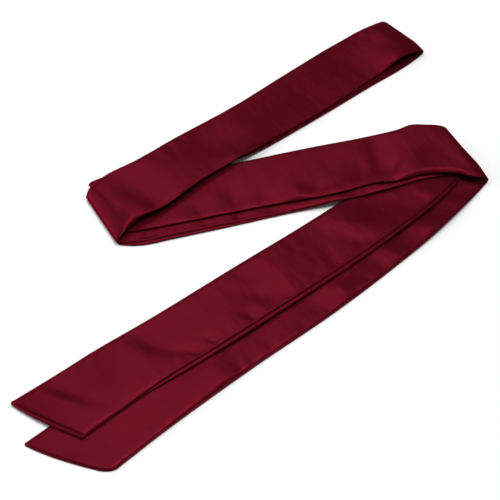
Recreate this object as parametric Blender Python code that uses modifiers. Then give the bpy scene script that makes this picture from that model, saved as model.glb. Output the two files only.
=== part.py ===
"""A satin skinny scarf lying folded on a surface.

The scarf is a flat tube of two long satin panels, face and back, sewn along
both long edges and both slanted ends. It is doubled at mid length and the
double strip is folded in a Z of three legs:

    leg one    front leg, both free ends at its left
    leg two    middle leg, from the right-hand fold to the left-hand fold
    leg three  rear leg, from the left-hand fold to the mid-length fold

Each panel is a cloth wall, split where it folds into six stretches. A stretch
is worked out from a few sections across it. Its height comes from draping it
over what lies below, and its ends curl round the folds.

Lengths are in millimetres up to the point where the meshes are filled in.
X runs to the right, Y away from the viewer, Z up, with the origin under the
middle of the folded scarf, on the surface it lies on.
"""

import math
from collections import namedtuple

import bpy
import numpy as np

# ---------------------------------------------------------------- sizes, mm
MM = 0.001
WALL = 1.5  # cloth wall of one panel
SEAM_GAP = 0.3  # between face and back panel
LAYER_GAP = 0.45  # between one stretch and the next one above it
HALF = WALL + SEAM_GAP / 2  # half thickness of the flattened tube
WIDTH = 51.5  # finished width of the tube
EDGE_ROLL = 3.5  # width over which a panel rounds down to its edge
EDGE_WALL = 0.3  # share of the wall left at the very edge
FOLD_CUT = 0.15  # each stretch stops this far from the middle of a fold

# Softness of the drape: drop per mm squared along and across a stretch
LIMP_ALONG = 0.003
LIMP_ACROSS = 0.007

# Mesh density
FLAT_STEP = 17.5  # between sections on the flat of a stretch
LOOP_DEGREES = (0, 30, 55, 78)  # round a quarter of a fold
ACROSS = (0.0, 1.0, 3.5, 17.0, 34.5, 48.0, 50.5, 51.5)  # from the near edge

# ---------------------------------------------------------------- the layout
# A leg's frame: where its axis starts, and its heading in degrees from +X.
Leg = namedtuple("Leg", "x y heading")
LEGS = {
    "one": Leg(-149.07, -178.26, 37.9),
    "two": Leg(-119.07, -6.26, 13.1),
    "three": Leg(-114.07, -6.26, 41.6),
}

# A fold: the line that the cloth turns round, from the near edge (the sewn
# one, towards the viewer) to the far edge, in the frame of one leg. Then half
# the height between the two stretches it joins, how far the cloth curls out,
# and how much each corner is drawn in.
Fold = namedtuple(
    "Fold",
    "leg near_along near_off far_along far_off half_height reach near_tuck far_tuck",
)
FOLDS = {
    "right_inner": Fold("two", 273, -17.0, 252, 35.0, 3.0, 4.2, 3.0, 3.0),
    "left_outer": Fold("two", 6.5, -27.2, -8.9, 23.6, 6.7, 8.0, 1.0, 3.0),
    "middle": Fold("three", 305.0, -26.2, 306, 20.6, 3.6, 5.5, 1.0, 2.0),
    "left_inner": Fold("two", 15, -19.0, -3.4, 34.0, 3.0, 4.2, 2.0, 1.5),
    "right_outer": Fold("two", 285.6, -30.8, 268.4, 22.6, 6.7, 8.0, 0.2, 3.5),
}

# A section across a stretch: where it meets the near and the far edge, along
# the leg's axis and off it.
Section = namedtuple("Section", "near_along near_off far_along far_off")
Stretch = namedtuple("Stretch", "name leg start end sections")
STRETCHES = (
    Stretch("leg1_upper", "one", None, "right_inner", (
        Section(17.5, -28.6, -5.2, 23.2),
        Section(40, -27.6, 30, 23.5),
        Section(70, -26.6, 62, 23.8),
        Section(104, -28.1, 100, 22.9),
        Section(180, -28.9, 180, 22.9),
        Section(256, -27.7, 260, 23.4),
        Section(300, -25.4, 306, 27.4),
        Section(338, -20.4, 342, 35.5),
    )),
    Stretch("leg2_lower", "two", "right_inner", "left_outer", (
        Section(240, -19.6, 230, 32.0),
        Section(206, -23.8, 202, 28.6),
        Section(174, -25.5, 170, 26.8),
        Section(146, -24.3, 144, 27.0),
        Section(90, -26.2, 86, 25.4),
        Section(45, -28.5, 36, 24.2),
    )),
    Stretch("leg3_upper", "three", "left_outer", "middle", (
        Section(8, -20.4, 20, 29.6),
        Section(32, -22.9, 46, 27.6),
        Section(80, -21.8, 90, 28.0),
        Section(108, -23.6, 116, 27.6),
        Section(136, -22.0, 144, 27.2),
        Section(196, -21.9, 204, 27.6),
        Section(258, -22.4, 262, 26.9),
        Section(286, -23.9, 286, 25.4),
    )),
    Stretch("leg3_lower", "three", "middle", "left_inner", (
        Section(285, -28.9, 284, 22.8),
        Section(245, -26.3, 245, 25.0),
        Section(190, -23.8, 190, 26.0),
        Section(136, -22.6, 138, 26.4),
        Section(76, -21.0, 84, 27.4),
        Section(30, -19.8, 40, 30.8),
    )),
    Stretch("leg2_upper", "two", "left_inner", "right_outer", (
        Section(42, -18.1, 34, 31.0),
        Section(84, -17.4, 84, 31.0),
        Section(146, -18.8, 146, 32.8),
        Section(178, -20.9, 178, 32.7),
        Section(204, -19.0, 204, 31.8),
        Section(240, -18.2, 236, 31.2),
        Section(262, -22.0, 256, 29.6),
    )),
    Stretch("leg1_lower", "one", "right_outer", None, (
        Section(354, -34.2, 356, 18.6),
        Section(322, -40.0, 324, 12.6),
        Section(276, -45.3, 276, 7.0),
        Section(210, -50.0, 210, 2.0),
        Section(140, -51.3, 140, 0.6),
        Section(66, -54.8, 60, -2.8),
        Section(18.8, -58.7, -14.0, -7.0),
    )),
)
STACK = ("leg1_lower", "leg1_upper", "leg2_lower", "leg2_upper", "leg3_lower", "leg3_upper")

# A free end: how far it bows out in its middle, and the radius of its corners
End = namedtuple("End", "bow near_corner far_corner")
ENDS = {
    "leg1_upper": End(4.0, 1.5, 2.0),
    "leg1_lower": End(3.4, 7.0, 2.0),
}

SATIN_FACE = (0.105, 0.005, 0.016, 1.0)
SATIN_BACK = (0.095, 0.005, 0.015, 1.0)

# The square the drape is worked out on
FIELD_X, FIELD_Y, FIELD_CELL = (-200.0, 200.0), (-240.0, 240.0), 1.0
DRAPE_STEP, DRAPE_ACROSS, DRAPE_ROUNDS = 4.0, 13, 4000


# ---------------------------------------------------------------- geometry
def on_floor(leg, along, off):
    """A point given along and off a leg's axis, as x and y."""
    x, y, heading = LEGS[leg]
    c, s = math.cos(math.radians(heading)), math.sin(math.radians(heading))
    return (x + along * c - off * s, y + along * s + off * c)


def fold_line(name):
    fold = FOLDS[name]
    return (
        *on_floor(fold.leg, fold.near_along, fold.near_off),
        *on_floor(fold.leg, fold.far_along, fold.far_off),
    )


def through(at, knots, rows):
    """A smooth curve through rows (one for each knot), read at each of at."""
    slopes = np.gradient(rows, knots, axis=0)
    i = np.clip(np.searchsorted(knots, at, side="right") - 1, 0, len(knots) - 2)
    h = (knots[i + 1] - knots[i])[..., None]
    t = (at - knots[i])[..., None] / h
    return (
        (2 * t**3 - 3 * t**2 + 1) * rows[i]
        + (t**3 - 2 * t**2 + t) * h * slopes[i]
        + (3 * t**2 - 2 * t**3) * rows[i + 1]
        + (t**3 - t**2) * h * slopes[i + 1]
    )


def neighbours(z):
    p = np.pad(z, 1, mode="edge")
    return p[2:, 1:-1] + p[:-2, 1:-1], p[1:-1, 2:] + p[1:-1, :-2]


class Laid:
    """One stretch of the scarf where it lies."""

    def __init__(self, stretch):
        self.stretch = stretch
        rows = [
            (
                *on_floor(stretch.leg, s.near_along, s.near_off),
                *on_floor(stretch.leg, s.far_along, s.far_off),
            )
            for s in stretch.sections
        ]
        if stretch.start:
            rows.insert(0, fold_line(stretch.start))
        if stretch.end:
            rows.append(fold_line(stretch.end))
        self.rows = np.array(rows)
        middle = (self.rows[:, :2] + self.rows[:, 2:]) / 2
        steps = np.linalg.norm(np.diff(middle, axis=0), axis=1)
        self.knots = np.concatenate([[0.0], np.cumsum(steps)])
        self.length = self.knots[-1]

    def plan(self, along, across):
        """x and y at arrays of the distance along and the share across."""
        edges = through(along, self.knots, self.rows)
        share = across[..., None]
        return edges[..., :2] * (1 - share) + edges[..., 2:] * share

    def settle(self, fine, fine_along, fine_across, floor):
        """Takes draped heights onto the nodes of the mesh, nowhere too low."""
        self.stops, self.shares = sections_along(self), np.array(ACROSS) / WIDTH
        self.z = fine
        self.grid = (fine_along[:, 0], fine_across[0])
        along, across = np.meshgrid(self.stops, self.shares, indexing="ij")
        z = self.height(along, across)
        self.grid = (self.stops, self.shares)
        for _ in range(6):
            self.z = z
            short = np.maximum(floor - self.height(fine_along, fine_across), 0)
            i, _, j, _ = self.inside(fine_along, fine_across)
            for di in (0, 1):
                for dj in (0, 1):
                    lift = np.zeros_like(z)
                    np.maximum.at(lift, (i + di, j + dj), short)
                    z = np.maximum(z, self.z + lift)
        self.z = z

    def inside(self, along, across):
        """The cell of the height grid that a point is in, and where in it."""
        found = []
        for at, nodes in zip((along, across), self.grid):
            i = np.clip(np.searchsorted(nodes, at, side="right") - 1, 0, len(nodes) - 2)
            found += [i, np.clip((at - nodes[i]) / (nodes[i + 1] - nodes[i]), 0, 1)]
        return found

    def height(self, along, across):
        """Height of the tube's middle, read from the height grid."""
        z = self.z
        i, a, j, b = self.inside(along, across)
        return (
            z[i, j] * (1 - a) * (1 - b)
            + z[i + 1, j] * a * (1 - b)
            + z[i, j + 1] * (1 - a) * b
            + z[i + 1, j + 1] * a * b
        )

    def edge_height(self, fold, across):
        """Height along the end of this stretch that turns round a fold."""
        end = self.z[0 if self.stretch.start == fold else -1]
        return np.interp(across, self.grid[1], end)


def cells(points):
    return (
        np.round((points[..., 0] - FIELD_X[0]) / FIELD_CELL).astype(int),
        np.round((points[..., 1] - FIELD_Y[0]) / FIELD_CELL).astype(int),
    )


def spread(field):
    """Each cell raised to the highest of its neighbours."""
    p = np.pad(field, 1, mode="edge")
    rows = np.maximum(np.maximum(p[2:], p[:-2]), p[1:-1])
    return np.maximum(np.maximum(rows[:, 2:], rows[:, :-2]), rows[:, 1:-1])


def drape_all():
    """Lays the stretches down from the lowest up, each over those below it."""
    shape = (
        int((FIELD_X[1] - FIELD_X[0]) / FIELD_CELL) + 1,
        int((FIELD_Y[1] - FIELD_Y[0]) / FIELD_CELL) + 1,
    )
    top = np.zeros(shape)
    by_name = {s.name: s for s in STRETCHES}
    laid = {}
    for name in STACK:
        piece = Laid(by_name[name])
        count = int(round(piece.length / DRAPE_STEP)) + 1
        along, across = np.meshgrid(
            np.linspace(0, piece.length, count),
            np.linspace(0, 1, DRAPE_ACROSS),
            indexing="ij",
        )
        below = spread(spread(top))[cells(piece.plan(along, across))]
        floor = np.where(below > 0, below + LAYER_GAP, 0.0) + HALF
        for row, fold in ((0, piece.stretch.start), (-1, piece.stretch.end)):
            for other in laid.values():
                if fold and fold in (other.stretch.start, other.stretch.end):
                    edge = other.edge_height(fold, across[0])
                    lift = edge + 2 * FOLDS[fold].half_height
                    floor[row] = np.maximum(floor[row], lift)
        # A limp sheet over what is below it: each point sinks to the mean of
        # its neighbours less a drop, or rests on the floor under it
        pull_along = LIMP_ACROSS / LIMP_ALONG / (piece.length / (count - 1)) ** 2
        pull_across = 1.0 / (WIDTH / (DRAPE_ACROSS - 1)) ** 2
        pull = 2 * (pull_along + pull_across)
        z = np.full_like(floor, floor.max())
        for _ in range(DRAPE_ROUNDS):
            a, b = neighbours(z)
            z = np.maximum(
                floor, (pull_along * a + pull_across * b - LIMP_ACROSS) / pull
            )
        for _ in range(8):
            a, b = neighbours(z)
            z = np.maximum(floor, (4 * z + a + b) / 8)
        piece.settle(z, along, across, floor)
        laid[name] = piece
        along, across = np.meshgrid(
            np.arange(0, piece.length, 0.6), np.linspace(0, 1, 90), indexing="ij"
        )
        height = piece.height(along, across) + HALF
        np.maximum.at(top, cells(piece.plan(along, across)), height)
    return laid


def sections_along(piece):
    """Distances along a stretch for its mesh: close together round a fold."""
    start, end = piece.stretch.start, piece.stretch.end
    turn = np.radians(LOOP_DEGREES)

    def loop(fold):
        gap = FOLDS[fold].reach * (1 - np.sin(turn))
        return np.append(gap, gap[-1] - 0.01)[::-1]

    head = loop(start) if start else np.array([0.0, 1.2, 3.5])
    tail = loop(end) if end else np.array([0.0, 1.2, 3.5])
    count = int(round((piece.length - head[-1] - tail[-1]) / FLAT_STEP))
    flat = np.linspace(head[-1], piece.length - tail[-1], count + 1)
    return np.concatenate([head, flat[1:-1], piece.length - tail[::-1]])


def middle_surface(piece, laid, along, across):
    """The tube's middle surface, with its ends curled round the folds."""
    far_end = piece.length - along
    share = across.copy()
    for fold, gap in ((piece.stretch.start, along), (piece.stretch.end, far_end)):
        if fold:
            # The corners of a fold are drawn in
            near = np.clip(1 - gap / (2 * FOLDS[fold].reach), 0, 1)
            draw = 1 - np.sqrt(1 - near**2 * 0.96)
            near_in = FOLDS[fold].near_tuck * draw / WIDTH
            far_in = FOLDS[fold].far_tuck * draw / WIDTH
            share = near_in + share * (1 - near_in - far_in)
        else:
            # The corners of a free end are rounded, and its middle bows out
            end = ENDS[piece.stretch.name]
            shift = -end.bow * 4 * across * (1 - across)
            for inside, corner in ((across, end.near_corner), (1 - across, end.far_corner)):
                into = np.clip(1 - WIDTH * inside / corner, 0, 1)
                shift = shift + corner * (1 - np.sqrt(1 - into**2))
            fade = np.clip(1 - gap / 25.0, 0, 1)
            along = along + (shift if gap is not far_end else -shift) * fade
    plan = piece.plan(along, share)
    z = piece.height(along, share)
    for fold, gap in ((piece.stretch.start, piece_gap(piece, along, True)),
                      (piece.stretch.end, piece_gap(piece, along, False))):
        if not fold:
            continue
        other = next(
            o for o in laid.values()
            if o is not piece and fold in (o.stretch.start, o.stretch.end)
        )
        rise = (other.edge_height(fold, share) - piece.edge_height(fold, share)) / 2
        out = np.clip(1 - gap / FOLDS[fold].reach, 0, 1)
        curl = 1 - np.sqrt(1 - out**2)
        # The last bit stands upright, up to the middle of the fold
        last, before = (0, 1) if fold == piece.stretch.start else (-1, -2)
        curl[last] = 1 - FOLD_CUT / np.abs(rise[last])
        plan[last] = plan[before]
        z[last] = z[before]
        z = z + rise * curl
    return np.concatenate([plan, z[..., None]], axis=-1)


def piece_gap(piece, along, from_start):
    return along if from_start else piece.length - along


# ---------------------------------------------------------------- the pieces
def satin(name, colour):
    material = bpy.data.materials.new(name)
    material.use_nodes = True
    shader = material.node_tree.nodes["Principled BSDF"]
    shader.inputs["Base Color"].default_value = colour
    shader.inputs["Roughness"].default_value = 0.35
    shader.inputs["Metallic"].default_value = 0.0
    material.diffuse_color = colour
    return material


def panel(name, surface, side, ends, material, collection):
    """A cloth wall on one side of the middle surface, thin at its sewn edges."""
    rows, columns = surface.shape[:2]
    across_step = np.gradient(surface, axis=1)
    along_step = np.gradient(surface, axis=0)
    normal = np.cross(along_step, across_step)
    normal /= np.linalg.norm(normal, axis=-1, keepdims=True)
    base = surface + side * normal * SEAM_GAP / 2

    bpy.ops.mesh.primitive_grid_add(
        x_subdivisions=rows - 1, y_subdivisions=columns - 1, size=2.0
    )
    obj = bpy.context.active_object
    obj.name = obj.data.name = name
    wall = obj.vertex_groups.new(name="wall")
    for vertex in obj.data.vertices:
        i = int(round((vertex.co.x + 1) / 2 * (rows - 1)))
        j = int(round((vertex.co.y + 1) / 2 * (columns - 1)))
        vertex.co = base[i, j] * MM
        inside = min(ACROSS[j], WIDTH - ACROSS[j])
        if ends[0]:
            inside = min(inside, ends[2][i])
        if ends[1]:
            inside = min(inside, ends[2][-1] - ends[2][i])
        share = np.clip(inside / EDGE_ROLL, 0, 1)
        weight = EDGE_WALL + (1 - EDGE_WALL) * math.sqrt(1 - (1 - share) ** 2)
        wall.add([vertex.index], weight, "REPLACE")
    shell = obj.modifiers.new("wall", "SOLIDIFY")
    shell.thickness = WALL * MM
    shell.offset = side
    shell.vertex_group = "wall"
    shell.thickness_vertex_group = 0.0
    shell.use_rim = True
    obj.data.materials.append(material)
    obj.data.shade_smooth()
    for other in list(obj.users_collection):
        other.objects.unlink(obj)
    collection.objects.link(obj)
    return obj


def main():
    for obj in list(bpy.data.objects):
        bpy.data.objects.remove(obj, do_unlink=True)
    collection = bpy.data.collections.new("satin_skinny_scarf")
    bpy.context.scene.collection.children.link(collection)
    face = satin("satin_face", SATIN_FACE)
    back = satin("satin_back", SATIN_BACK)
    laid = drape_all()
    for number, stretch in enumerate(STRETCHES, 1):
        piece = laid[stretch.name]
        along, across = np.meshgrid(piece.stops, piece.shares, indexing="ij")
        surface = middle_surface(piece, laid, along, across)
        ends = (stretch.start is None, stretch.end is None, piece.stops)
        panel(f"face_{number}_{stretch.name}", surface, 1, ends, face, collection)
        panel(f"back_{number}_{stretch.name}", surface, -1, ends, back, collection)


main()
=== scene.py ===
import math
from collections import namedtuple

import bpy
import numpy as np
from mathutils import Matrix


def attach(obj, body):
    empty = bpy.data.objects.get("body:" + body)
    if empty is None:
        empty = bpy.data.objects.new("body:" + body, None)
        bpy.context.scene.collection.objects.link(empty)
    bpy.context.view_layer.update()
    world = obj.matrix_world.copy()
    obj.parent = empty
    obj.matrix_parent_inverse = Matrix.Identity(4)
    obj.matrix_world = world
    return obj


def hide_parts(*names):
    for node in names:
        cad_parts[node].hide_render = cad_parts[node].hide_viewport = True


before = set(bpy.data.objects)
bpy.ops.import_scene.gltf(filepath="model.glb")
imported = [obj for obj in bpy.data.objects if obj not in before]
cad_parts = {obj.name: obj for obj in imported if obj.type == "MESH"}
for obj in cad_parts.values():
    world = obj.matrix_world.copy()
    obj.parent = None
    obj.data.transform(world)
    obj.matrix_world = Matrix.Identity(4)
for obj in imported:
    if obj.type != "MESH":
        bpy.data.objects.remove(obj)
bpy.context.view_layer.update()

# A satin skinny scarf lying folded on a surface.
#
# The scarf is a flat tube of two long satin panels, face and back, sewn along
# both long edges and both slanted ends. It is doubled at mid length and the
# double strip is folded in a Z of three legs:
#
#     leg one    front leg, both free ends at its left
#     leg two    middle leg, from the right-hand fold to the left-hand fold
#     leg three  rear leg, from the left-hand fold to the mid-length fold
#
# The strip's middle surface is laid leg by leg and draped over what is below
# it. Each panel is then one thin sheet of cloth that follows the whole strip,
# from seam to seam round the tube, with the creases and puckers added on it.
# Lengths are in millimetres until the meshes are made.

MM = 0.001

# ------------------------------------------------------------------ the strip
HALF = 1.2  # half the thickness of the flattened tube
WIDTH = 51.5  # finished width
EDGE_ROLL = 4.6  # width over which the tube thins to its edge
EDGE_POWER = 1.65  # 2 for a round edge, less for a sharper one
END_ROLL, END_POWER = 5.0, 1.5  # the same at the free ends
DROOP = 0.55  # how far the thin edges sink towards what they lie on, as a share of HALF
LAYER_GAP = 0.35
CLOTH = 0.32  # thickness of one panel's cloth
LIMP_ALONG, LIMP_ACROSS = 0.003, 0.005
PRESSED, PRESSED_REACH = 0.4, 15.0  # the tube is pressed flatter by this share at folds, ends

Leg = namedtuple("Leg", "x y heading")
LEGS = {
    "one": Leg(-149.07, -178.26, 37.9),
    "two": Leg(-119.07, -6.26, 13.1),
    "three": Leg(-114.07, -6.26, 41.6),
}
# Each fold: its line, half the height it spans (and that at its near end), how
# far from the line the lower and the upper layer begin to turn, how far up the
# height the line lies, and how far the two edges draw in
Fold = namedtuple(
    "Fold",
    "leg near_along near_off far_along far_off half near_half below above low near_tuck far_tuck",
)
FOLDS = {
    "right_inner": Fold("two", 273, -17.0, 252, 35.0, 1.3, 1.3, 3.0, 3.0, 0.5, 3.0, 3.0),
    "left_outer": Fold("two", 6.8, -24.6, -9.5, 27.4, 2.2, 2.7, 3.0, 4.5, 0.4, 1.0, 2.6),
    "middle": Fold("three", 306.8, -25.9, 307.4, 20.8, 3.2, 1.6, 3.0, 3.5, 0.3, 0.6, 3.4),
    "left_inner": Fold("two", 15, -16.2, -6.0, 36.6, 1.4, 1.5, 3.0, 3.0, 0.5, 0.8, 1.5),
    "right_outer": Fold("two", 288.6, -26.0, 270.9, 25.4, 4.6, 1.8, 3.0, 3.5, 0.25, 0.2, 6.0),
}
Section = namedtuple("Section", "near_along near_off far_along far_off")
Stretch = namedtuple("Stretch", "name leg start end sections")
STRETCHES = (
    Stretch("leg1_upper", "one", None, "right_inner", (
        Section(17.5, -28.1, -5.2, 24.5),
        Section(40, -26.8, 30, 24.6),
        Section(70, -25.6, 62, 25),
        Section(104, -27.2, 100, 23.9),
        Section(180, -27.9, 180, 24),
        Section(256, -26.9, 260, 24),
        Section(300, -24.5, 306, 26),
        Section(338, -20.2, 342, 35.8),
    )),
    Stretch("leg2_lower", "two", "right_inner", "left_outer", (
        Section(240, -17.6, 230, 32.5),
        Section(206, -21.6, 202, 29.5),
        Section(174, -23.5, 170, 27.6),
        Section(146, -23, 144, 27.8),
        Section(90, -25.6, 86, 26),
        Section(45, -27.8, 36, 25.2),
        Section(24, -28.5, 13, 26),
    )),
    Stretch("leg3_upper", "three", "left_outer", "middle", (
        Section(8, -17.4, 20, 34),
        Section(32, -20.5, 46, 31.1),
        Section(80, -18.9, 90, 30.9),
        Section(108, -20.5, 116, 30.3),
        Section(136, -19.4, 144, 29.4),
        Section(196, -21.5, 204, 29.7),
        Section(258, -22, 262, 28.9),
        Section(286, -22.4, 286, 26.8),
    )),
    Stretch("leg3_lower", "three", "middle", "left_inner", (
        Section(285, -27, 284, 23.8),
        Section(245, -25, 245, 26.0),
        Section(190, -23.2, 190, 27.0),
        Section(136, -20.5, 138, 27.4),
        Section(76, -17, 84, 28.6),
        Section(30, -15, 40, 31.0),
    )),
    Stretch("leg2_upper", "two", "left_inner", "right_outer", (
        Section(42, -16.8, 34, 31.8),
        Section(84, -15.6, 84, 32.2),
        Section(130, -15.1, 130, 33.4),
        Section(150, -16.4, 150, 34),
        Section(172, -18, 172, 34.1),
        Section(202, -15.4, 202, 33.3),
        Section(216, -17.4, 216, 33.2),
        Section(243, -15.6, 236, 34),
        Section(256, -17.5, 247, 36),
        Section(266, -20, 257, 33),
        Section(276, -25, 265, 30),
    )),
    Stretch("leg1_lower", "one", "right_outer", None, (
        Section(354, -33.7, 356, 18.6),
        Section(322, -39.7, 324, 12.6),
        Section(276, -44.7, 276, 7.4),
        Section(210, -49.4, 210, 2.4),
        Section(140, -50.7, 140, 1.0),
        Section(66, -54.2, 60, -2.4),
        Section(18.8, -58.4, -14.0, -6.7),
    )),
)
STACK = ("leg1_lower", "leg1_upper", "leg2_lower", "leg2_upper", "leg3_lower", "leg3_upper")
End = namedtuple("End", "bow near_corner far_corner")
ENDS = {
    "leg1_upper": End(2.0, 1.5, 2.0),
    "leg1_lower": End(2.2, 7.0, 2.0),
}

# Where the near seam runs round the tube's near edge: millimetres of cloth
# from the edge onto the face panel's side, at shares of each stretch's length
Seam = namedtuple("Seam", "stretch share inset depth")
NEAR_SEAM = (
    Seam("leg1_upper", 0.00, 0.3, 0.6), Seam("leg1_upper", 0.16, 0.5, 0.6),
    Seam("leg1_upper", 0.25, 3.2, 1.0), Seam("leg1_upper", 0.60, 3.6, 1.0),
    Seam("leg1_upper", 0.85, 3.4, 1.0), Seam("leg1_upper", 0.97, 2.0, 0.8),
    Seam("leg2_lower", 0.10, 0.6, 0.5), Seam("leg2_lower", 0.45, -0.6, 0.5),
    Seam("leg2_lower", 0.70, -2.6, 0.8), Seam("leg2_lower", 0.92, -3.0, 0.8),
    Seam("leg3_upper", 0.08, -0.6, 0.5), Seam("leg3_upper", 0.55, -0.4, 0.5),
    Seam("leg3_upper", 0.95, -0.6, 0.5),
    Seam("leg3_lower", 0.12, -1.6, 0.6), Seam("leg3_lower", 0.55, -2.2, 0.7),
    Seam("leg3_lower", 0.95, -1.0, 0.5),
    Seam("leg2_upper", 0.10, -0.6, 0.5), Seam("leg2_upper", 0.50, -0.5, 0.5),
    Seam("leg2_upper", 0.90, -0.6, 0.5),
    Seam("leg1_lower", 0.05, -0.9, 0.35), Seam("leg1_lower", 0.20, -1.2, 0.35),
    Seam("leg1_lower", 0.60, -1.2, 0.3), Seam("leg1_lower", 0.95, -1.1, 0.3),
    Seam("leg1_lower", 1.00, -0.8, 0.3),
)
FAR_SEAM = -1.1  # the far seam: this far under the edge, or over it if below 0
GROOVE_DEPTH, GROOVE_WIDTH = 1.1, 0.75

# Creases: a soft ridge (height above 0) or trough (below 0), by its middle
# along and off the leg's axis, turned from the axis by degrees, with its reach
# lengthwise and to its left and right
Crease = namedtuple("Crease", "stretch along off turn length left right height")
CREASES = (
    # the front leg's upper layer
    Crease("leg1_upper", 20, 7, 124, 24, 14, 8, 1.9),
    Crease("leg1_upper", 34, 0, 124, 26, 9, 22, -1.8),
    Crease("leg1_upper", 62, 0, 105, 24, 16, 20, 0.8),
    Crease("leg1_upper", 83, 6, 118, 20, 16, 9, 0.9),
    Crease("leg1_upper", 97, 0, 120, 22, 9, 18, -1.6),
    Crease("leg1_upper", 111, -16, 135, 10, 3, 5, -1.2),
    Crease("leg1_upper", 127, -17, 124, 7, 3, 4, -1.0),
    Crease("leg1_upper", 160, -18, 117, 8, 3, 5, -1.1),
    Crease("leg1_upper", 179, -11, 138, 16, 8, 8, -1.4),
    Crease("leg1_upper", 199, 8, 100, 20, 9, 24, 1.2),
    Crease("leg1_upper", 255, 2, 122, 34, 34, 14, -1.1),
    Crease("leg1_upper", 236, -15, 63, 12, 4, 5, -0.5),
    Crease("leg1_upper", 262, -13, 135, 12, 5, 6, -0.6),
    Crease("leg1_upper", 268, 3, 138, 26, 16, 18, 2.4),
    Crease("leg1_upper", 303, 0, 142, 28, 22, 14, -2.4),
    Crease("leg1_upper", 334, -12, 130, 10, 5, 6, 0.7),
    # its lower layer
    Crease("leg1_lower", 40, -44, 105, 16, 12, 20, -0.5),
    Crease("leg1_lower", 117, -42, 104, 18, 30, 9, 1.2),
    Crease("leg1_lower", 162, -29, -3, 40, 8, 17, -1.4),
    Crease("leg1_lower", 200, -34, 120, 14, 10, 12, -1.2),
    Crease("leg1_lower", 226, -37, 140, 10, 10, 10, 1.3),
    Crease("leg1_lower", 262, -38, 118, 16, 12, 7, -0.6),
    Crease("leg1_lower", 292, -32, 128, 17, 9, 16, -1.3),
    Crease("leg1_lower", 331, -29, 120, 17, 9, 18, -1.5),
    Crease("leg1_lower", 354, -24, 130, 15, 12, 8, -0.7),
    Crease("leg1_lower", 276, -36, 120, 14, 7, 14, 0.8),
    Crease("leg1_lower", 311, -34, 121, 14, 8, 13, 1.2),
    Crease("leg1_lower", 343, -27, 124, 13, 6, 14, 0.9),
    Crease("leg1_lower", 369, -22, 117, 11, 4, 9, 1.1),
    Crease("leg1_lower", 160, -47, -3, 40, 10, 5, 0.5),
    Crease("leg1_lower", 325, -25, 8, 55, 9, 14, -1.2),
    # the middle leg's upper layer
    Crease("leg2_upper", 64, 11, 26, 44, 7, 7, -1.2),
    Crease("leg2_upper", 26, -8, 20, 16, 8, 9, -1.2),
    Crease("leg2_upper", 70, -9, 98, 9, 8, 7, -1.4),
    Crease("leg2_upper", 97, -4, 92, 13, 6, 9, -1.5),
    Crease("leg2_upper", 120, -8, 84, 9, 9, 9, -0.8),
    Crease("leg2_upper", 143, -8, 90, 10, 8, 8, 1.4),
    Crease("leg2_upper", 160, -9, 98, 8, 7, 8, -1.2),
    Crease("leg2_upper", 194, -4, 80, 14, 12, 12, -1.6),
    Crease("leg2_upper", 211, 15, 86, 24, 6, 12, -1.7),
    Crease("leg2_upper", 213, -9, 40, 13, 10, 6, -2.6),
    Crease("leg2_upper", 232, -3, 34, 14, 7, 13, 1.6),
    Crease("leg2_upper", 270, 22, 100, 34, 36, 8, 2.6),
    # the middle leg's lower layer
    Crease("leg2_lower", 30, -22, 104, 9, 7, 6, -1.6),
    Crease("leg2_lower", 73, -21, 95, 8, 7, 8, -1.0),
    Crease("leg2_lower", 97, -20, 92, 8, 4, 7, -1.2),
    Crease("leg2_lower", 124, -21, 85, 8, 7, 7, -1.0),
    Crease("leg2_lower", 186, -20, 95, 8, 12, 12, -1.2),
    # the rear leg's lower layer, where it shows at the mid-length fold
    Crease("leg3_lower", 287, -20, 6, 20, 8, 9, -1.8),
    # the rear leg's upper layer
    Crease("leg3_upper", 9, 6, 97, 28, 12, 13, 1.8),
    Crease("leg3_upper", 31, 3, 94, 32, 11, 14, -2.2),
    Crease("leg3_upper", 50, 0, 92, 32, 12, 20, 0.6),
    Crease("leg3_upper", 96, -2, 80, 24, 20, 26, -1.8),
    Crease("leg3_upper", 132, 6, 100, 22, 16, 30, 1.3),
    Crease("leg3_upper", 196, -4, 90, 20, 26, 26, -1.7),
    Crease("leg3_upper", 246, 4, 100, 24, 24, 20, -1.4),
    Crease("leg3_upper", 292, 6, 94, 22, 24, 9, 2.2),
)
# Where the whole strip stands off what it lies on, most of all beside its folds
Loft = namedtuple("Loft", "stretch along off length width height")
LOFTS = (
    Loft("leg1_lower", 332, -37, 50, 9, 2.3),
    Loft("leg3_upper", 285, -17, 19, 13, 3.8),
    Loft("leg3_upper", 16, -16, 14, 11, 1.6),
    Loft("leg2_upper", 165, 34, 75, 32, 1.7),
    Loft("leg2_upper", 262, 28, 38, 42, 2.6),
    Loft("leg2_upper", 212, -14, 12, 7, 0.8),
)
# The cloth draws into little puckers along its seams: how far apart, how far
# they reach from the seam, how wide and how deep, each from least to most
PUCKER_GAP, PUCKER_REACH, PUCKER_WIDTH, PUCKER_DEPTH = (9, 26), (4, 10), (2.2, 4.0), (0.12, 0.5)
# Faint slack where no crease is listed, on the hidden and under sides too
SLACK_GAP, SLACK_LENGTH, SLACK_WIDTH, SLACK_DEPTH = (16, 34), (10, 26), (6, 13), (0.2, 0.6)
# The end seams: how far in on the upper side, at the far and the near corner,
# and how deep
END_SEAMS = {"leg1_upper": (0.7, 3.4, 0.9), "leg1_lower": (0.5, 1.0, 0.25)}


def on_floor(leg, along, off):
    x, y, heading = LEGS[leg]
    c, s = math.cos(math.radians(heading)), math.sin(math.radians(heading))
    return (x + along * c - off * s, y + along * s + off * c)


def in_leg(leg, x, y):
    """How far points lie along and off a leg's axis."""
    ox, oy, heading = LEGS[leg]
    c, s = math.cos(math.radians(heading)), math.sin(math.radians(heading))
    return (x - ox) * c + (y - oy) * s, (y - oy) * c - (x - ox) * s


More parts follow.
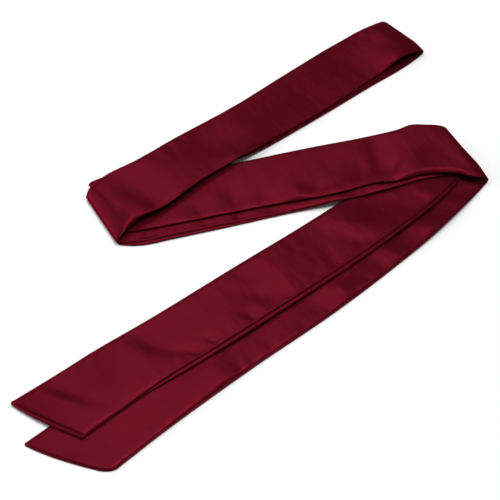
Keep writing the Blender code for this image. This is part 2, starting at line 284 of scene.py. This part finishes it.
def fold_line(name):
    fold = FOLDS[name]
    return (
        *on_floor(fold.leg, fold.near_along, fold.near_off),
        *on_floor(fold.leg, fold.far_along, fold.far_off),
    )


def through(at, knots, rows):
    """A smooth curve through rows (one for each knot), read at each of at."""
    slopes = np.gradient(rows, knots, axis=0)
    i = np.clip(np.searchsorted(knots, at, side="right") - 1, 0, len(knots) - 2)
    h = (knots[i + 1] - knots[i])[..., None]
    t = (at - knots[i])[..., None] / h
    return (
        (2 * t**3 - 3 * t**2 + 1) * rows[i]
        + (t**3 - 2 * t**2 + t) * h * slopes[i]
        + (3 * t**2 - 2 * t**3) * rows[i + 1]
        + (t**3 - t**2) * h * slopes[i + 1]
    )


def smooth_step(t):
    t = np.clip(t, 0, 1)
    return t * t * (3 - 2 * t)


class Laid:
    """One stretch of the strip where it lies."""

    def __init__(self, stretch):
        self.stretch = stretch
        rows = [
            (
                *on_floor(stretch.leg, s.near_along, s.near_off),
                *on_floor(stretch.leg, s.far_along, s.far_off),
            )
            for s in stretch.sections
        ]
        if stretch.start:
            rows.insert(0, fold_line(stretch.start))
        if stretch.end:
            rows.append(fold_line(stretch.end))
        self.rows = np.array(rows)
        middle = (self.rows[:, :2] + self.rows[:, 2:]) / 2
        steps = np.linalg.norm(np.diff(middle, axis=0), axis=1)
        self.knots = np.concatenate([[0.0], np.cumsum(steps)])
        self.length = self.knots[-1]

    def plan(self, along, across):
        edges = through(along, self.knots, self.rows)
        share = across[..., None]
        return edges[..., :2] * (1 - share) + edges[..., 2:] * share

    def height(self, along, across):
        z = self.z
        u = np.clip(along / self.length, 0, 1) * (z.shape[0] - 1)
        v = np.clip(across, 0, 1) * (z.shape[1] - 1)
        i = np.minimum(u.astype(int), z.shape[0] - 2)
        j = np.minimum(v.astype(int), z.shape[1] - 2)
        a, b = u - i, v - j
        return (
            z[i, j] * (1 - a) * (1 - b)
            + z[i + 1, j] * a * (1 - b)
            + z[i, j + 1] * (1 - a) * b
            + z[i + 1, j + 1] * a * b
        )

    def half(self, along):
        """Half the tube's thickness."""
        flat = np.zeros_like(along)
        flat = flat + np.exp(-((along / PRESSED_REACH) ** 2))
        flat = flat + np.exp(-(((self.length - along) / PRESSED_REACH) ** 2))
        return HALF * (1 - PRESSED * flat)

    def turn_reach(self, fold):
        """How far from a fold this stretch begins to turn into it."""
        return FOLDS[fold].above if self.upper(fold) else FOLDS[fold].below

    def upper(self, fold):
        pair = [s.name for s in STRETCHES if fold in (s.start, s.end)]
        return STACK.index(self.stretch.name) == max(STACK.index(n) for n in pair)

    def edge_height(self, fold, across):
        end = self.z[0 if self.stretch.start == fold else -1]
        return np.interp(across, np.linspace(0, 1, len(end)), end)


# --------------------------------------------------------------- the draping
FIELD_X, FIELD_Y, FIELD_CELL = (-200.0, 200.0), (-240.0, 240.0), 1.0
DRAPE_STEP, DRAPE_ACROSS, DRAPE_ROUNDS = 2.5, 21, 6000


def cells(points):
    return (
        np.round((points[..., 0] - FIELD_X[0]) / FIELD_CELL).astype(int),
        np.round((points[..., 1] - FIELD_Y[0]) / FIELD_CELL).astype(int),
    )


def spread(field):
    p = np.pad(field, 1, mode="edge")
    rows = np.maximum(np.maximum(p[2:], p[:-2]), p[1:-1])
    return np.maximum(np.maximum(rows[:, 2:], rows[:, :-2]), rows[:, 1:-1])


def soften(field, rounds):
    for _ in range(rounds):
        p = np.pad(field, 1, mode="edge")
        field = (4 * field + p[2:, 1:-1] + p[:-2, 1:-1] + p[1:-1, 2:] + p[1:-1, :-2]) / 8
    return field


def fold_half(name, across):
    fold = FOLDS[name]
    return fold.near_half + (fold.half - fold.near_half) * smooth_step(across / 0.25)


def neighbours(z):
    p = np.pad(z, 1, mode="edge")
    return p[2:, 1:-1] + p[:-2, 1:-1], p[1:-1, 2:] + p[1:-1, :-2]


def drape_all():
    """Lays the stretches down from the lowest up, each over those below it."""
    shape = (
        int((FIELD_X[1] - FIELD_X[0]) / FIELD_CELL) + 1,
        int((FIELD_Y[1] - FIELD_Y[0]) / FIELD_CELL) + 1,
    )
    top = np.zeros(shape)
    by_name = {s.name: s for s in STRETCHES}
    laid, outlines = {}, {}
    for name in STACK:
        piece = Laid(by_name[name])
        count = int(round(piece.length / DRAPE_STEP)) + 1
        along, across = np.meshgrid(
            np.linspace(0, piece.length, count),
            np.linspace(0, 1, DRAPE_ACROSS),
            indexing="ij",
        )
        below = soften(spread(spread(top)), 2)[cells(piece.plan(along, across))]
        floor = below + LAYER_GAP * np.clip(below / 2, 0, 1) + piece.half(along)
        held = []
        for row, fold in ((0, piece.stretch.start), (-1, piece.stretch.end)):
            for other in laid.values():
                if fold and fold in (other.stretch.start, other.stretch.end):
                    lift = other.edge_height(fold, across[0]) + 2 * fold_half(fold, across[0])
                    floor[row] = np.maximum(floor[row], lift)
                    held.append(row)
        pull_along = LIMP_ACROSS / LIMP_ALONG / (piece.length / (count - 1)) ** 2
        pull_across = 1.0 / (WIDTH / (DRAPE_ACROSS - 1)) ** 2
        pull = 2 * (pull_along + pull_across)
        z = np.full_like(floor, floor.max())
        for _ in range(DRAPE_ROUNDS):
            a, b = neighbours(z)
            z = np.maximum(
                floor, (pull_along * a + pull_across * b - LIMP_ACROSS) / pull
            )
            for row in held:
                z[row] = floor[row]
        ends = z[0].copy(), z[-1].copy()
        for _ in range(70):
            a, b = neighbours(z)
            z = np.maximum(floor - 0.3, (4 * z + a + b) / 8)
            if piece.stretch.start:
                z[0] = ends[0]
            if piece.stretch.end:
                z[-1] = ends[1]
        a, o = in_leg(piece.stretch.leg, *np.moveaxis(piece.plan(
            *np.meshgrid(np.linspace(0, piece.length, count), np.linspace(0, 1, DRAPE_ACROSS), indexing="ij")
        ), -1, 0))
        held_in = np.ones(count)
        if piece.stretch.start:
            held_in *= smooth_step(np.linspace(0, piece.length, count) / 6.0)
        if piece.stretch.end:
            held_in *= smooth_step(np.linspace(piece.length, 0, count) / 6.0)
        for loft in LOFTS:
            if loft.stretch == name:
                z = z + loft.height * held_in[:, None] * np.exp(
                    -(((a - loft.along) / loft.length) ** 2) - ((o - loft.off) / loft.width) ** 2
                )
        piece.z = z
        laid[name] = piece
        along, across = np.meshgrid(
            np.arange(0, piece.length, 0.6), np.linspace(0, 1, 90), indexing="ij"
        )
        height = piece.height(along, across) + piece.half(along)
        outlines[name] = cells(piece.plan(along, across))
        np.maximum.at(top, outlines[name], height)
    # where each stretch has others lying on it
    over = np.zeros(shape)
    for name in reversed(STACK):
        laid[name].over = soften(spread(spread(over)), 6)
        over[outlines[name]] = 1.0
    return laid


# ------------------------------------------------- the strip's middle surface
FLAT_STEP = 2.05
LOOP_STEPS = 8
FOLD_POWER = 2.0
END_STOPS = (0.0, 0.08, 0.3, 0.65, 1.1, 1.6, 2.1, 2.5, 2.9, 3.3, 3.7, 4.2, 4.9, 6.0)
COLUMNS = 104  # fine columns that the middle surface is held on


def stops_along(piece):
    start, end = piece.stretch.start, piece.stretch.end

    def loop(fold):
        turn = np.radians(np.linspace(0, 90, LOOP_STEPS + 1))
        return piece.turn_reach(fold) * (1 - np.sin(turn))[::-1]

    head = loop(start) if start else np.array(END_STOPS)
    tail = loop(end) if end else np.array(END_STOPS)
    count = int(round((piece.length - head[-1] - tail[-1]) / FLAT_STEP))
    flat = np.linspace(head[-1], piece.length - tail[-1], count + 1)
    return np.concatenate([head, flat[1:-1], piece.length - tail[::-1]])


def middle_surface(piece, laid, stops):
    """The tube's middle surface over one stretch, curled round its folds."""
    along, across = np.meshgrid(stops, np.linspace(0, 1, COLUMNS), indexing="ij")
    gaps = ((piece.stretch.start, along), (piece.stretch.end, piece.length - along))
    share, moved = across.copy(), along.copy()
    for side, (fold, gap) in zip((1, -1), gaps):
        if fold:
            near = np.clip(1 - gap / 9.0, 0, 1)
            draw = 1 - np.sqrt(1 - near**2 * 0.96)
            near_in = FOLDS[fold].near_tuck * draw / WIDTH
            far_in = FOLDS[fold].far_tuck * draw / WIDTH
            share = near_in + share * (1 - near_in - far_in)
        else:
            end = ENDS[piece.stretch.name]
            shift = -end.bow * 4 * across * (1 - across)
            for inside, corner in ((across, end.near_corner), (1 - across, end.far_corner)):
                into = np.clip(1 - WIDTH * inside / corner, 0, 1)
                shift = shift + corner * (1 - np.sqrt(1 - into**2))
            moved = moved + side * shift * np.clip(1 - gap / 25.0, 0, 1)
    plan = piece.plan(moved, share)
    z = piece.height(moved, share)
    for fold, gap in gaps:
        if not fold:
            continue
        other = next(
            o for o in laid.values()
            if o is not piece and fold in (o.stretch.start, o.stretch.end)
        )
        rise = other.edge_height(fold, share) - piece.edge_height(fold, share)
        rise *= 1 - FOLDS[fold].low if piece.upper(fold) else FOLDS[fold].low
        out = np.clip(1 - gap / piece.turn_reach(fold), 0, 1)
        z = z + rise * (1 - (1 - out**FOLD_POWER) ** (1 / FOLD_POWER))
    return np.concatenate([plan, z[..., None]], axis=-1)


laid = drape_all()
rows, row_stretch, row_along = [], [], []
for number, stretch in enumerate(STRETCHES):
    piece = laid[stretch.name]
    stops = stops_along(piece)
    surface = middle_surface(piece, laid, stops)
    first = 1 if number else 0  # a fold's middle row belongs to the stretch before
    rows.append(surface[first:])
    row_stretch += [number] * (len(stops) - first)
    row_along += list(stops[first:])
middle = np.concatenate(rows)
row_stretch, row_along = np.array(row_stretch), np.array(row_along)
row_half = np.array([
    float(laid[STRETCHES[k].name].half(np.array(a))) for k, a in zip(row_stretch, row_along)
])
lengths = np.array([laid[s.name].length for s in STRETCHES])
count = len(middle)

# The distance travelled along the strip, at its middle column
steps = np.linalg.norm(np.diff(middle[:, COLUMNS // 2], axis=0), axis=1)
travel = np.concatenate([[0.0], np.cumsum(steps)])

normals = np.cross(np.gradient(middle, travel, axis=0), np.gradient(middle, axis=1))
normals /= np.linalg.norm(normals, axis=-1, keepdims=True)

# Which way is up on each row: +1 where the face panel is on top
up = np.where(row_stretch % 2 == 0, 1.0, -1.0)
gap_start, gap_end = row_along, lengths[row_stretch] - row_along
to_fold = np.full(count, 1e3)
for k, s in enumerate(STRETCHES):
    mine = row_stretch == k
    if s.start:
        to_fold[mine] = np.minimum(to_fold[mine], gap_start[mine])
    if s.end:
        to_fold[mine] = np.minimum(to_fold[mine], gap_end[mine])
to_end = np.minimum(travel, travel[-1] - travel)

# -------------------------------------------------- round the tube at one row
theta = np.linspace(0, math.pi / 2, 400)
arc_w = EDGE_ROLL * (1 - np.cos(theta) ** (2 / EDGE_POWER))
arc_h = np.sin(theta) ** (2 / EDGE_POWER)
arc_s = np.concatenate([[0.0], np.cumsum(np.hypot(np.diff(arc_w), np.diff(arc_h) * HALF))])
QUARTER = arc_s[-1] + WIDTH / 2 - EDGE_ROLL
SIDE = 2 * QUARTER  # cloth from the near edge to the far edge, over one side


def round_tube(q):
    """Share across, and height from -1 to 1, at distances round the tube."""
    q = (q + SIDE) % (2 * SIDE) - SIDE
    side, s = np.where(q >= 0, 1.0, -1.0), np.abs(q)
    near = np.minimum(s, SIDE - s)
    w = np.where(near < arc_s[-1], np.interp(near, arc_s, arc_w), near - arc_s[-1] + EDGE_ROLL)
    h = np.where(near < arc_s[-1], np.interp(near, arc_s, arc_h), 1.0)
    return np.where(s < QUARTER, w, WIDTH - w) / WIDTH, side * h


def on_middle(field, share):
    """Reads a field held on the middle surface's columns."""
    v = np.clip(share, 0, 1) * (COLUMNS - 1)
    j = np.minimum(v.astype(int), COLUMNS - 2)
    b = (v - j)[..., None]
    i = np.arange(count)[:, None]
    return field[i, j] * (1 - b) + field[i, j + 1] * b


seam_at = [
    travel[row_stretch == [s.name for s in STRETCHES].index(m.stretch)][0]
    + m.share * lengths[[s.name for s in STRETCHES].index(m.stretch)]
    for m in NEAR_SEAM
]
near_seam = np.interp(travel, seam_at, [m.inset for m in NEAR_SEAM])
seam_depth = np.interp(travel, seam_at, [m.depth for m in NEAR_SEAM])[:, None]
kernel = np.hanning(13)
near_seam = np.convolve(np.pad(near_seam, 6, mode="edge"), kernel / kernel.sum(), "valid")

far_seam = np.convolve(np.pad(FAR_SEAM * up, 10, mode="edge"), np.full(21, 1 / 21), "valid")

# Columns of a panel, as shares from its near seam to its far seam
EDGE_COLUMNS = (0, 0.35, 0.75, 1.2, 1.7, 2.3, 3.0, 3.7, 4.4, 5.2, 6.2, 7.6, 9.4)
inner = np.linspace(EDGE_COLUMNS[-1], SIDE - EDGE_COLUMNS[-1], 20)
column = np.concatenate([EDGE_COLUMNS, inner[1:-1], SIDE - np.array(EDGE_COLUMNS)[::-1]]) / SIDE


def panel_surface(face):
    """The outer surface of one panel and its seams' grooves, before any creases."""
    side = 1.0 if face else -1.0
    reach = SIDE + side * far_seam - side * near_seam
    q = near_seam[:, None] + side * reach[:, None] * column[None, :]
    share, h = round_tube(q)
    base, n = on_middle(middle, share), on_middle(normals, share)
    n /= np.linalg.norm(n, axis=-1, keepdims=True)
    # The tube thins to its free ends too
    into = np.clip(1 - to_end / END_ROLL, 0, 1)
    closing = ((1 - into**END_POWER) ** (1 / END_POWER))[:, None]
    out = row_half[:, None] * h * closing
    base[..., 2] -= (
        DROOP * row_half[:, None] * (1 - np.abs(h) * closing) * smooth_step(to_fold / 9.0)[:, None]
    )
    # Seams lie in a groove
    from_near = np.abs(reach[:, None] * column[None, :])
    from_far = np.abs(reach[:, None] * (1 - column[None, :]))
    groove = GROOVE_DEPTH * (
        seam_depth * np.exp(-((from_near / GROOVE_WIDTH) ** 1.6))
        + 0.5 * np.exp(-((from_far / GROOVE_WIDTH) ** 1.6))
    )
    return base, n, out, groove, share, q


def strewn(seed, gaps):
    """Places along the strip, unevenly spaced."""
    rng = np.random.default_rng(seed)
    at, places = rng.uniform(4, gaps[1]), []
    while at < travel[-1] - 4:
        places.append(at)
        at += rng.uniform(*gaps)
    return rng, places


def puckers(distance, seed):
    """Little troughs that run in from a seam, by the distance from it."""
    rng, places = strewn(seed, PUCKER_GAP)
    total = np.zeros_like(distance)
    t = travel[:, None]
    for at in places:
        reach, width = rng.uniform(*PUCKER_REACH), rng.uniform(*PUCKER_WIDTH)
        depth, slant = rng.uniform(*PUCKER_DEPTH), rng.uniform(-0.8, 0.8)
        near = np.abs(travel - at) < 25
        off = t[near] - at - slant * distance[near]
        total[near] -= (
            depth * np.exp(-((off / width) ** 2)) * np.exp(-((distance[near] / reach) ** 2))
            * smooth_step(distance[near] / 2.0)
        )
    return total


def slack(distance, seed):
    """Broad, faint creases at all slants across a panel."""
    rng, places = strewn(seed, SLACK_GAP)
    total = np.zeros_like(distance)
    t = travel[:, None]
    for at in places:
        middle_off = rng.uniform(0.1, 0.9) * SIDE
        length, width = rng.uniform(*SLACK_LENGTH), rng.uniform(*SLACK_WIDTH)
        depth, turn = rng.uniform(*SLACK_DEPTH), math.radians(rng.uniform(40, 140))
        near = np.abs(travel - at) < 60
        a, o = t[near] - at, distance[near] - middle_off
        u = a * math.cos(turn) + o * math.sin(turn)
        v = o * math.cos(turn) - a * math.sin(turn)
        total[near] -= depth * np.exp(-((u / length) ** 2) - np.abs(v / width) ** 1.6)
    return total


def creased(face):
    """A panel's outer points, the way out from each, and its seams' grooves."""
    base, n, out, groove, share, q = panel_surface(face)
    points = base + n * out[..., None]
    side = 1.0 if face else -1.0
    on_top = ((side * up)[:, None] * np.ones_like(share)) > 0
    placed = np.zeros(share.shape)
    for k, s in enumerate(STRETCHES):
        mine = row_stretch == k
        a, o = in_leg(s.leg, points[mine, :, 0], points[mine, :, 1])
        total = np.zeros_like(a)
        for c in CREASES:
            if c.stretch != s.name:
                continue
            t = math.radians(c.turn)
            u = (a - c.along) * math.cos(t) + (o - c.off) * math.sin(t)
            v = (o - c.off) * math.cos(t) - (a - c.along) * math.sin(t)
            reach = np.where(v > 0, c.left, c.right)
            total += c.height * np.exp(-((u / c.length) ** 2) - np.abs(v / reach) ** 1.5)
        # no ridge is raised where another layer lies on this one
        bare = 1 - laid[s.name].over[cells(points[mine][..., :2])]
        placed[mine] = np.where(total > 0, total * bare, total)
    from_near = SIDE * column[None, :] * np.ones((count, 1))
    from_far = SIDE - from_near
    little = puckers(from_near, 11) + puckers(from_far, 12)
    faint = slack(from_near, 21 if face else 22)
    lift = np.where(on_top, placed + 0.35 * faint, faint) + little
    # all of it fades into the folds and the ends
    lift *= smooth_step(to_fold / 9.0)[:, None] * smooth_step(to_end / 5.0)[:, None]
    # and into the thin edges, where there is no depth to sink into
    lift *= smooth_step(np.minimum(from_near, from_far) / 4.0)
    deepest = 1.9 * row_half[:, None]
    lift = np.where(lift < 0, -deepest * np.tanh(-lift / deepest), lift)
    points = points + n * (np.sign(out + 1e-9) * lift)[..., None]
    own = np.cross(np.gradient(points, axis=0), np.gradient(points, axis=1))
    own /= np.maximum(np.linalg.norm(own, axis=-1, keepdims=True), 1e-12)
    own *= side
    # the seams at the two ends, a little way in on the upper side
    for k, gap in ((0, gap_start), (len(STRETCHES) - 1, gap_end)):
        far, near, deep = END_SEAMS[STRETCHES[k].name]
        inset = near + (far - near) * share
        line = np.exp(-(((gap[:, None] - inset) / 0.7) ** 2)) * (row_stretch == k)[:, None]
        groove = groove + np.where(on_top, deep * line * smooth_step(from_near / 2.0), 0.0)
    return points, own, groove, share


def shell(name, face, material):
    points, own, groove, share = creased(face)
    middle_there = on_middle(middle, share)
    inward = middle_there - points
    outer = points - own * groove[..., None]
    inner_side = outer - own * CLOTH
    rows_n, cols_n = outer.shape[:2]
    verts = np.concatenate([outer.reshape(-1, 3), inner_side.reshape(-1, 3)]) * MM
    index = np.arange(rows_n * cols_n).reshape(rows_n, cols_n)
    a, b = index[:-1, :-1], index[1:, :-1]
    c, d = index[1:, 1:], index[:-1, 1:]
    quads = np.stack([a, b, c, d], -1).reshape(-1, 4)
    if not face:
        quads = quads[:, ::-1]
    off = rows_n * cols_n
    inner_quads = quads[:, ::-1] + off
    ring = np.concatenate([index[0, :], index[1:, -1], index[-1, -2::-1], index[-2:0:-1, 0]])
    nxt = np.roll(ring, -1)
    rim = np.stack([ring, nxt, nxt + off, ring + off], -1)
    if not face:
        rim = rim[:, ::-1]
    faces = np.concatenate([quads, inner_quads, rim])
    mesh = bpy.data.meshes.new(name)
    mesh.from_pydata(verts.tolist(), [], faces.tolist())
    uv = mesh.uv_layers.new(name="cloth")
    u = np.concatenate([np.broadcast_to(column[None, :] * SIDE, (rows_n, cols_n)).ravel()] * 2)
    v = np.concatenate([np.broadcast_to(travel[:, None], (rows_n, cols_n)).ravel()] * 2)
    loops = np.empty(len(mesh.loops), dtype=np.int32)
    mesh.loops.foreach_get("vertex_index", loops)
    uv.data.foreach_set("uv", np.stack([u[loops], v[loops]], -1).astype(np.float32).ravel() * MM)
    mesh.update()
    mesh.shade_smooth()
    mesh.validate()
    obj = bpy.data.objects.new(name, mesh)
    bpy.context.scene.collection.objects.link(obj)
    mesh.materials.append(material)
    return obj


# --------------------------------------------------------------- the material
def satin(name, colour):
    mat = bpy.data.materials.new(name)
    mat.use_nodes = True
    nt = mat.node_tree
    bsdf = nt.nodes["Principled BSDF"]
    bsdf.inputs["Metallic"].default_value = 0.6
    bsdf.inputs["Roughness"].default_value = 0.42
    bsdf.inputs["Specular IOR Level"].default_value = 0.0
    bsdf.inputs["Specular Tint"].default_value = (1.0, 0.25, 0.35, 1.0)
    bsdf.inputs["Anisotropic"].default_value = 0.5
    bsdf.inputs["Sheen Weight"].default_value = 0.05
    bsdf.inputs["Sheen Roughness"].default_value = 0.5
    bsdf.inputs["Sheen Tint"].default_value = (0.8, 0.12, 0.2, 1.0)
    uv = nt.nodes.new("ShaderNodeUVMap")
    uv.uv_map = "cloth"
    tangent = nt.nodes.new("ShaderNodeTangent")
    tangent.direction_type = "UV_MAP"
    tangent.uv_map = "cloth"
    nt.links.new(tangent.outputs["Tangent"], bsdf.inputs["Tangent"])
    # slow drift of colour along the cloth
    noise = nt.nodes.new("ShaderNodeTexNoise")
    noise.inputs["Scale"].default_value = 28.0
    noise.inputs["Detail"].default_value = 3.0
    nt.links.new(uv.outputs["UV"], noise.inputs["Vector"])
    ramp = nt.nodes.new("ShaderNodeValToRGB")
    ramp.color_ramp.elements[0].position, ramp.color_ramp.elements[1].position = 0.3, 0.7
    ramp.color_ramp.elements[0].color = tuple(x * 0.93 for x in colour[:3]) + (1.0,)
    ramp.color_ramp.elements[1].color = tuple(x * 1.05 for x in colour[:3]) + (1.0,)
    nt.links.new(noise.outputs["Fac"], ramp.inputs["Fac"])
    nt.links.new(ramp.outputs["Color"], bsdf.inputs["Base Color"])
    # satin floats: fine lines along the strip, and a faint slub
    stretch = nt.nodes.new("ShaderNodeMapping")
    stretch.inputs["Scale"].default_value = (2600.0, 500.0, 1.0)
    nt.links.new(uv.outputs["UV"], stretch.inputs["Vector"])
    weave = nt.nodes.new("ShaderNodeTexNoise")
    weave.inputs["Scale"].default_value = 1.0
    weave.inputs["Detail"].default_value = 1.0
    nt.links.new(stretch.outputs["Vector"], weave.inputs["Vector"])
    bump = nt.nodes.new("ShaderNodeBump")
    bump.inputs["Strength"].default_value = 0.06
    bump.inputs["Distance"].default_value = 0.0002
    nt.links.new(weave.outputs["Fac"], bump.inputs["Height"])
    # soft unevenness of limp cloth, a centimetre or so across and slanted
    slant = nt.nodes.new("ShaderNodeMapping")
    slant.inputs["Rotation"].default_value = (0.0, 0.0, 0.6)
    slant.inputs["Scale"].default_value = (60.0, 120.0, 1.0)
    nt.links.new(uv.outputs["UV"], slant.inputs["Vector"])
    unevenness = nt.nodes.new("ShaderNodeTexNoise")
    unevenness.inputs["Scale"].default_value = 1.0
    unevenness.inputs["Detail"].default_value = 2.0
    unevenness.inputs["Roughness"].default_value = 0.4
    nt.links.new(slant.outputs["Vector"], unevenness.inputs["Vector"])
    soft = nt.nodes.new("ShaderNodeBump")
    soft.inputs["Strength"].default_value = 0.6
    soft.inputs["Distance"].default_value = 0.0006
    nt.links.new(unevenness.outputs["Fac"], soft.inputs["Height"])
    nt.links.new(soft.outputs["Normal"], bump.inputs["Normal"])
    nt.links.new(bump.outputs["Normal"], bsdf.inputs["Normal"])
    return mat


face_satin = satin("satin_face", (0.086, 0.0038, 0.0095))
back_satin = satin("satin_back", (0.086, 0.0038, 0.0095))
names = [s.name for s in STRETCHES]
face = shell("face_panel", True, face_satin)
back = shell("back_panel", False, back_satin)
for obj, prefix, slot in ((face, "face", "satin_face"), (back, "back", "satin_back")):
    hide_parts(*[f"{prefix}_{n}_{name}" for n, name in enumerate(names, 1)])
    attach(obj, "root")

# ------------------------------------------------------- floor, light, camera
floor_mesh = bpy.data.meshes.new("floor")
floor_mesh.from_pydata([(-4, -4, 0), (4, -4, 0), (4, 4, 0), (-4, 4, 0)], [], [(0, 1, 2, 3)])
floor = bpy.data.objects.new("floor", floor_mesh)
floor.location.z = -0.0002
bpy.context.scene.collection.objects.link(floor)
paper = bpy.data.materials.new("paper")
paper.use_nodes = True
paper.node_tree.nodes["Principled BSDF"].inputs["Base Color"].default_value = (0.88, 0.88, 0.88, 1)
paper.node_tree.nodes["Principled BSDF"].inputs["Roughness"].default_value = 0.9
paper.node_tree.nodes["Principled BSDF"].inputs["Specular IOR Level"].default_value = 0.0
floor_mesh.materials.append(paper)


def area_light(name, at, look, size, power):
    data = bpy.data.lights.new(name, "AREA")
    data.shape, data.size, data.size_y, data.energy = "RECTANGLE", size[0], size[1], power
    obj = bpy.data.objects.new(name, data)
    obj.location = at
    aim = np.array(look) - np.array(at)
    aim = aim / np.linalg.norm(aim)
    side = np.cross(aim, (0, 0, 1.0))
    side = side / np.linalg.norm(side) if np.linalg.norm(side) > 1e-6 else np.array((1.0, 0, 0))
    top = np.cross(side, aim)
    obj.rotation_euler = Matrix(
        [[side[i], top[i], -aim[i]] for i in range(3)]
    ).to_euler()
    bpy.context.scene.collection.objects.link(obj)
    return obj


area_light("low_left", (-2.11, 0.32, 0.55), (0, 0, 0), (1.1, 0.7), 17.0)
area_light("left", (-1.67, 0.61, 1.29), (0, 0, 0), (0.9, 0.9), 8.0)
area_light("back", (-0.38, 1.24, 1.78), (0, 0, 0), (0.9, 0.9), 10.4)
area_light("overhead", (0.67, 0.08, 2.09), (0, 0, 0), (0.9, 0.9), 15.5)
area_light("top", (0.0, 0.02, 2.2), (0, 0, 0), (0.9, 0.9), 16.5)

world = bpy.data.worlds.new("studio")
bpy.context.scene.world = world
world.use_nodes = True
world.node_tree.nodes["Background"].inputs["Color"].default_value = (1, 1, 1, 1)
world.node_tree.nodes["Background"].inputs["Strength"].default_value = 0.25

bpy.context.scene.view_settings.view_transform = "Standard"
bpy.context.scene.view_settings.look = "None"

camera_data = bpy.data.cameras.new("camera")
camera_data.sensor_width = 36.0
camera_data.lens = 36.0 * 1188.51 / 500.0
camera_data.clip_start, camera_data.clip_end = 0.01, 20.0
camera = bpy.data.objects.new("camera", camera_data)
camera.location = (-0.01187, -0.57326, 0.66184)
camera.rotation_euler = (math.radians(90 - 50.748), 0, 0)
bpy.context.scene.collection.objects.link(camera)
bpy.context.scene.camera = camera

bpy.context.view_layer.update()
